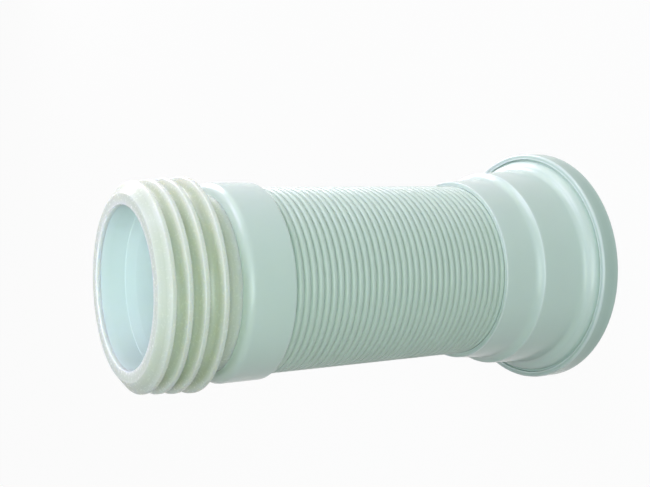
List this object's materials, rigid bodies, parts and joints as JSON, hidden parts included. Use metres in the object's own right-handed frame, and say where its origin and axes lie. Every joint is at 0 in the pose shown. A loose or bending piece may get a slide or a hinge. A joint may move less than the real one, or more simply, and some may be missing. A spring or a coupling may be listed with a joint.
{
  "type": "toilet pan connector",
  "caption": "Flexible toilet pan connector: finned outlet for a soil pipe, corrugated hose that stretches, and a stepped inlet cup with a lip seal for the pan.",
  "frame": {"origin": "centre of the inlet face, where the axis meets the surface that the part stands on", "axes": "+Z along the axis from the inlet to the outlet; X and Y are alike, because every piece is turned about Z"},
  "size_m": [0.138, 0.138, 0.27],
  "materials": {
    "rigid_plastic": "smooth moulded white plastic with a soft gloss",
    "hose_plastic": "satin blow-moulded white plastic",
    "seal_rubber": "soft cream elastomer, satin",
    "pan_seal_rubber": "soft cream elastomer, satin"
  },
  "bodies": {
    "inlet_end": {"retaining_ring": "rigid_plastic", "pan_seal": "pan_seal_rubber", "inlet_cup": "rigid_plastic", "corrugated_hose": "hose_plastic"},
    "outlet_end": {"outlet_spigot": "rigid_plastic", "finned_seal": "seal_rubber"}
  },
  "joints": [
    {"name": "hose_stretch", "type": "slide", "parent": "inlet_end", "child": "outlet_end", "axis": [0, 0, 1], "range_m": [0, 0.1], "deforming": ["corrugated_hose"]}
  ]
}
